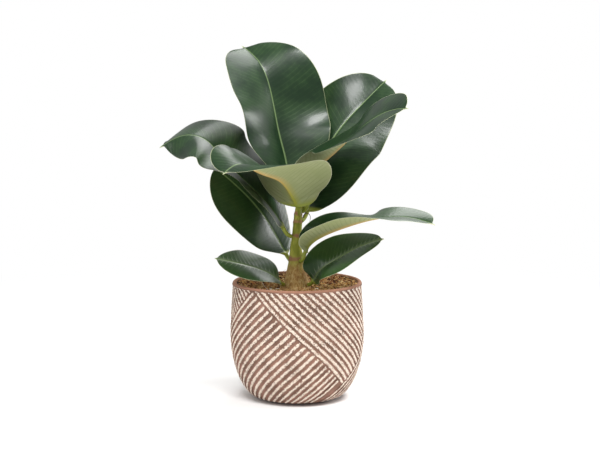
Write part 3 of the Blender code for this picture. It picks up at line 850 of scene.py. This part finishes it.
# %% Leaf table
# height and turn: where the stalk leaves the stem (mm, degrees from +X)
# stalk, half: the stalk's length, and half the blade's width (mm)
# skew, blunt: where along it the blade is widest, and how blunt its ends are
# curl: how far each half bends over from the midrib to the margin (degrees)
# midrib: the rest of the stalk and midrib up to the tip (mm)
# faces: where the upper side points at the base, the middle and the tip
# left, right: how far each half is folded up at the base, the middle and the tip (degrees)
LEAVES = {
    "top_leaf": dict(
        height=204, turn=140, stalk=13, half=63, skew=1.15, blunt=0.5, curl=-10,
        midrib=[(-10, 15, 232), (-19, 24, 274), (-26, 32, 309), (-38, 43, 345), (-59, 67, 365)],
        faces=[(0.3, -0.85, 0.4), (0.35, -0.75, -0.55), (0.4, -0.75, 0.55)],
        left=(34, 38, 12), right=(34, -6, 18)),
    "front_leaf": dict(
        height=193, turn=-80, stalk=17, half=56, skew=0.8, blunt=0.55, curl=-8,
        midrib=[(-1, -21, 205), (-15, -45, 229), (-39, -80, 243), (-53, -95, 251),
                (-70, -121, 244)],
        faces=[(0.15, 0.35, 0.95), (0.35, 0.35, 0.9), (-0.4, -0.7, 0.6)],
        left=(30, 22, -12), right=(8, 24, 4)),
    "right_leaf": dict(
        height=195, turn=-40, stalk=14, half=42, skew=1.1, blunt=0.5, curl=-8,
        midrib=[(10, -14, 227), (29, -13, 249), (59, -31, 278), (88, -45, 299), (109, -68, 304)],
        faces=[(-0.45, -0.2, 0.9), (-0.6, -0.1, 0.8), (-0.2, -0.5, 0.85)],
        left=(60, 4, 26), right=(80, 14, 0)),
    "back_right_leaf": dict(
        height=184, turn=50, stalk=14, half=55, skew=1, blunt=0.5, curl=-8,
        midrib=[(11, 12, 194), (22, 23, 232), (41, 46, 272), (68, 59, 302), (97, 84, 329)],
        faces=[(-0.45, -0.85, 0.3), (-0.3, -0.8, 0.5), (-0.2, -0.9, 0.4)],
        left=(10, -8, 32), right=(6, -4, 14)),
    "left_leaf": dict(
        height=169, turn=-150, stalk=14, half=55, skew=1.3, blunt=0.5, curl=-8,
        midrib=[(-15, -8, 180), (-37, -15, 211), (-55, -16, 229), (-78, -17, 253), (-92, -18, 269),
                (-110, -19, 275), (-140, -18, 262)],
        faces=[(0.3, -0.3, 0.9), (-0.25, -0.15, 0.95), (-0.05, -0.55, 0.85)],
        left=(-10, 11, -34), right=(3, 17, -34)),
    "lower_left_leaf": dict(
        height=140, turn=120, stalk=12, half=41, skew=1.1, blunt=0.55, curl=-8,
        midrib=[(-16, 18, 155), (-33, 9, 186), (-59, 4, 217), (-88, 12, 241)],
        faces=[(0.7, -0.5, 0.5), (0.35, -0.8, 0.5), (0.3, -0.9, 0.3)],
        left=(-6, 6, 2), right=(10, -4, 8)),
    "side_leaf": dict(
        height=144, turn=-62, stalk=13, half=35, skew=0.95, blunt=0.45, curl=-8,
        midrib=[(8, -12, 153), (24, -22, 171), (48, -38, 183), (78, -51, 193), (108, -54, 195),
                (137, -68, 189)],
        faces=[(-0.6, -0.4, 0.65), (0.1, 0, 1), (0.25, -0.3, 0.9)],
        left=(56, 10, 28), right=(54, 10, 2)),
    "small_right_leaf": dict(
        height=119, turn=-35, stalk=7, half=31, skew=0.85, blunt=0.55, curl=-5,
        midrib=[(21, -14, 131), (39, -23, 147), (64, -31, 162), (88, -37, 171)],
        faces=[(-0.2, -0.6, 0.7), (-0.1, -0.5, 0.9), (-0.1, -0.4, 0.9)],
        left=(35, 10, 0), right=(25, 10, 0)),
    "small_left_leaf": dict(
        height=119, turn=-150, stalk=7, half=25, skew=0.9, blunt=0.55, curl=-5,
        midrib=[(-20, -13, 125), (-34, -19, 135), (-58, -28, 144), (-84, -30, 150)],
        faces=[(0.2, -0.5, 0.8), (0.2, -0.5, 0.9), (0.1, -0.6, 0.8)],
        left=(20, 5, 0), right=(15, 0, 0)),
}
print("table:", len(LEAVES), "leaves")

# %% Leaf sizes
BLADE_THICKNESS = 0.0008
STALK_RADIUS = 0.0021
STALK_START = 0.0013  # from the stem to the stalk's first ring
KNEE_OUT, KNEE_UP = 0.0030, 0.0014
RIDGE_DEPTH = 0.0012  # how far the midrib stands out of the underside
RIDGE_WIDTH = 0.0022
STALK_BLEND = 0.05  # share of the blade over which the stalk flattens into it
BODY_SHARE = 0.97  # the blade's outline closes here, and the drip tip goes on
DRIP_SHARE = 0.05
DRIP_HALF = 0.0032
POINT_HALF = 0.0004
VEIN_STEP = 0.0047  # from one side vein to the next
VEIN_SLANT = 0.42
QUILTING = 0.00007  # how far the blade swells between two side veins
MARGIN_WAVE = 0.0009
GUTTER_DEPTH = 0.00045  # of the groove over the midrib, on the upper side
GUTTER_WIDTH = 0.0011
STALK_STATIONS, BLADE_STATIONS = 14, 150
HALF_SHARES = (0.012, 0.03, 0.055, 0.09, 0.14, 0.2, 0.27, 0.35, 0.44, 0.53, 0.62, 0.71, 0.79, 0.86,
               0.92, 0.965, 0.99, 1.0)
SHARES = [-share for share in HALF_SHARES[::-1]] + [0.0, *HALF_SHARES]


# %% Line and width of a leaf
def unit(rows):
    return rows / np.linalg.norm(rows, axis=-1, keepdims=True)


def on_path(path, run, distance):
    return np.stack([np.interp(distance, run, path[:, axis]) for axis in range(3)], axis=1)


def through(values, t):
    """Smooth curve through a value at the base, the middle and the tip."""
    base, middle, tip = [np.asarray(value, float) for value in values]
    if base.ndim:
        t = t[:, None]
    return base * (1 - t) * (1 - 2 * t) + middle * 4 * t * (1 - t) + tip * t * (2 * t - 1)


def midrib_points(leaf):
    """The stalk leaves the stem straight outwards, then turns into the listed points."""
    height = leaf["height"] / 1000
    turn = math.radians(leaf["turn"])
    outward = np.array([math.cos(turn), math.sin(turn), 0.0])
    root = stem_centre(height) + outward * (stem_radius(height) + STALK_START)
    knee = root + outward * KNEE_OUT + np.array([0.0, 0.0, KNEE_UP])
    return [root, knee] + [np.array(point) / 1000 for point in leaf["midrib"]]


def half_width(t, leaf):
    """Half the blade's width: a blunt oval that ends in a small drip tip."""
    oval = np.sin(math.pi * np.clip(t / BODY_SHARE, 0, 1) ** leaf["skew"]) ** leaf["blunt"]
    drip = np.where(t > 0.8, DRIP_HALF * np.clip((1 - t) / DRIP_SHARE, 0, 1), 0.0)
    return np.maximum(leaf["half"] / 1000 * oval, drip)


# %% Rings round a leaf
def leaf_rings(leaf, phase):
    """Rings of points round the leaf, and what each point knows about its place on it."""
    path, run = smooth_path(midrib_points(leaf))
    stalk = leaf["stalk"] / 1000
    blade = run[-1] - stalk
    even = np.linspace(0, 1, BLADE_STATIONS)
    along_blade = 0.35 * (0.5 - 0.5 * np.cos(math.pi * even)) + 0.65 * even
    along_stalk = np.linspace(-stalk / blade, 0.0, STALK_STATIONS)[:-1]
    station = np.concatenate((along_stalk, along_blade))
    t = np.clip(station, 0, 1)
    at = stalk + blade * station
    centre = on_path(path, run, at)
    ahead, behind = np.minimum(at + 0.002, run[-1]), np.maximum(at - 0.002, 0)
    along = unit(on_path(path, run, ahead) - on_path(path, run, behind))
    upward = through(leaf["faces"], t)
    upward = unit(upward - (upward * along).sum(axis=1, keepdims=True) * along)
    aside = np.cross(along, upward)

    flat = np.clip(t / STALK_BLEND, 0, 1)
    flat = flat * flat * (3 - 2 * flat)
    width = np.maximum(half_width(t, leaf), STALK_RADIUS * (1 - flat) + POINT_HALF * flat)
    thick = BLADE_THICKNESS / 2 + (STALK_RADIUS - BLADE_THICKNESS / 2) * (1 - flat)
    ridge = RIDGE_DEPTH * flat * (1 - 0.8 * t)
    open_tip = np.clip((1 - t) / DRIP_SHARE, 0, 1)
    curl = math.radians(leaf["curl"])
    upper, lower = [], []
    for share in SHARES:
        side = -1 if share < 0 else 1
        reach = abs(share)
        fold = np.radians(through(leaf["left" if share < 0 else "right"], t)) * flat * open_tip
        turned = curl * flat
        start = fold - turned / 2
        middle = start + turned * reach / 2
        tilt = (start + turned * reach) * min(1.0, reach / 0.1)
        place = centre + (side * width * np.cos(middle) * reach)[:, None] * aside
        place += (width * np.sin(middle) * reach)[:, None] * upward
        normal = np.cos(tilt)[:, None] * upward - side * np.sin(tilt)[:, None] * aside

        out = reach * width
        vein = at - stalk - VEIN_SLANT * out
        inner = np.clip(out / 0.004, 0, 1) * np.clip((width - out) / 0.006, 0, 1) * flat * open_tip
        quilt = QUILTING * np.cos(2 * math.pi * vein / VEIN_STEP) * inner
        wave = MARGIN_WAVE * reach**2 * np.sin(at * 95 + phase + side * 1.3) * flat * open_tip
        place += (wave + quilt)[:, None] * normal
        cap = math.sqrt(max(0.0, 1 - share * share))
        hump = ridge * np.exp(-(out / RIDGE_WIDTH) ** 2)
        gutter = GUTTER_DEPTH * np.exp(-(out / GUTTER_WIDTH) ** 2) * flat * (1 - 0.6 * t)
        known = [at - stalk, out, width - out, vein, 1 - flat]
        above = place + (thick * cap - gutter)[:, None] * normal
        upper.append(np.column_stack([above, *known, 0 * t + 1]))
        if reach < 1:
            below = place - (thick * cap + hump)[:, None] * normal
            lower.append(np.column_stack([below, *known, 0 * t]))
    return np.stack(lower[::-1] + upper, axis=1)


# %% Skin
def skin(rings):
    """Closed skin over a stack of equal rings: quads between them, a fan on each end."""
    layers, sides = rings.shape[:2]
    faces = []
    for layer in range(layers - 1):
        for side in range(sides):
            a, b = layer * sides + side, layer * sides + (side + 1) % sides
            faces.append((a, b, b + sides, a + sides))
    first, last, top = layers * sides, layers * sides + 1, (layers - 1) * sides
    for side in range(sides):
        nxt = (side + 1) % sides
        faces += [(first, nxt, side), (last, top + side, top + nxt)]
    flat = rings.reshape(-1, rings.shape[2])
    return np.vstack([flat, rings[0].mean(axis=0), rings[-1].mean(axis=0)]), faces


# %% [markdown]
# ## Leaf green
# The upper side is deep green, thick and glossy, with a pale midrib, faint slanting side veins
# and a thin light margin. The underside is a dull sage green with a strong yellow midrib. An
# image texture would need a flat picture of a leaf, so sums on the numbers that each point
# carries draw the same things: how far it is from the midrib, from the margin and from its base.

# %% Leaf finish
leaf_finish, tree = start_finish("leaf_gloss")
place = tree.place()
out, edge, vein = tree.number("from_midrib"), tree.number("from_margin"), tree.number("vein_run")
run, stalk, upper, tone = [tree.number(name) for name in ("run", "stalk", "upper", "tone")]
cloud = tree.noise(place, 38.0, 3.0, 0.6)
fine = tree.noise(place, 420.0, 4.0, 0.65)
phase = (vein + (cloud - 0.5) * 0.004) * (2 * math.pi / VEIN_STEP)
main_vein = (phase.maths("COSINE", phase) * 0.5 + 0.5) ** 10.0
phase = (vein + (fine - 0.5) * 0.0016) * (2 * math.pi / (VEIN_STEP / 3))
small_vein = (phase.maths("COSINE", phase) * 0.5 + 0.5) ** 4.0
fade = edge.step(0.0008, 0.008) * cloud.step(0.25, 0.75)
rib_half = (0.0013 - run * 0.006).most(0.0004)
midrib = 1.0 - (out - rib_half).step(-0.0004, 0.0005)
margin = 1.0 - edge.step(0.0003, 0.0009)
speck = (fine - 0.5 + (cloud - 0.5) * 0.3).step(0.20, 0.26)
skin_green = tree.mix(cloud.step(0.35, 0.65), (0.005, 0.021, 0.006), (0.011, 0.036, 0.009))
skin_green = tree.mix(tone, skin_green, (0.028, 0.075, 0.018))
skin_green = tree.mix((main_vein * 0.16 + small_vein * 0.05) * fade + speck * 0.1, skin_green,
                      (0.10, 0.17, 0.06))
feather = tone.step(0.5, 0.8) * (1.0 - (out + (main_vein - 0.5) * -0.004).step(0.001, 0.007))
skin_green = tree.mix(feather * 0.55, skin_green, (0.22, 0.27, 0.19))
skin_green = tree.mix(margin * 0.5, skin_green, (0.20, 0.25, 0.10))
top = tree.mix(midrib * 0.75, skin_green, (0.17, 0.25, 0.10))
sage = tree.mix(cloud.step(0.3, 0.7), (0.30, 0.335, 0.15), (0.38, 0.40, 0.21))
sage = tree.mix((main_vein * 0.8 + small_vein * 0.25) * fade, sage, (0.16, 0.21, 0.065))
sage = tree.mix(margin, sage, (0.62, 0.62, 0.40))
yellow = tree.mix(run.step(0.0, 0.06), (0.34, 0.36, 0.05), (0.55, 0.36, 0.12))
beside = 1.0 - (out - rib_half * 2.5).step(-0.001, 0.005)
under = tree.mix(beside * 0.55, sage, yellow)
under = tree.mix(1.0 - (out - rib_half * 1.4).step(-0.0004, 0.0006), under, yellow)
colour = tree.mix(upper.step(0.3, 0.7), under, top)
colour = tree.mix((1.0 - edge.step(0.00015, 0.0005)) * 0.8, colour, (0.70, 0.72, 0.48))
colour = tree.mix(stalk.step(0.1, 0.9), colour, (0.30, 0.34, 0.045))
relief = (main_vein * -0.5 - small_vein * 0.15) * fade * (upper * 2.0 - 1.0) + fine * 0.25
end_finish(tree, {"Base Color": colour, "Roughness": 0.56 - upper * 0.22 + (cloud - 0.5) * 0.14,
                  "Coat Weight": upper * 0.12, "Coat Roughness": 0.12, "Specular IOR Level": 0.32,
                  "Normal": tree.bump(relief, 0.00016, 0.7)})

# %% Fine leaves
KNOWN = ("run", "from_midrib", "from_margin", "vein_run", "stalk", "upper")
# how much lighter and yellower the lower leaves are, from 0 to 1
TONES = {"small_right_leaf": 0.85, "small_left_leaf": 0.8, "side_leaf": 0.35,
         "lower_left_leaf": 0.25}
for order, (name, leaf) in enumerate(LEAVES.items()):
    table, faces = skin(leaf_rings(leaf, 1.7 * order))
    mesh = skin_mesh(name + "_blade", table[:, :3].tolist(), faces, leaf_finish)
    for column, label in enumerate(KNOWN, start=3):
        carry(mesh, label, table[:, column])
    carry(mesh, "tone", np.full(len(table), TONES.get(name, 0.0)))
    keep(name + "_blade", mesh, [name])
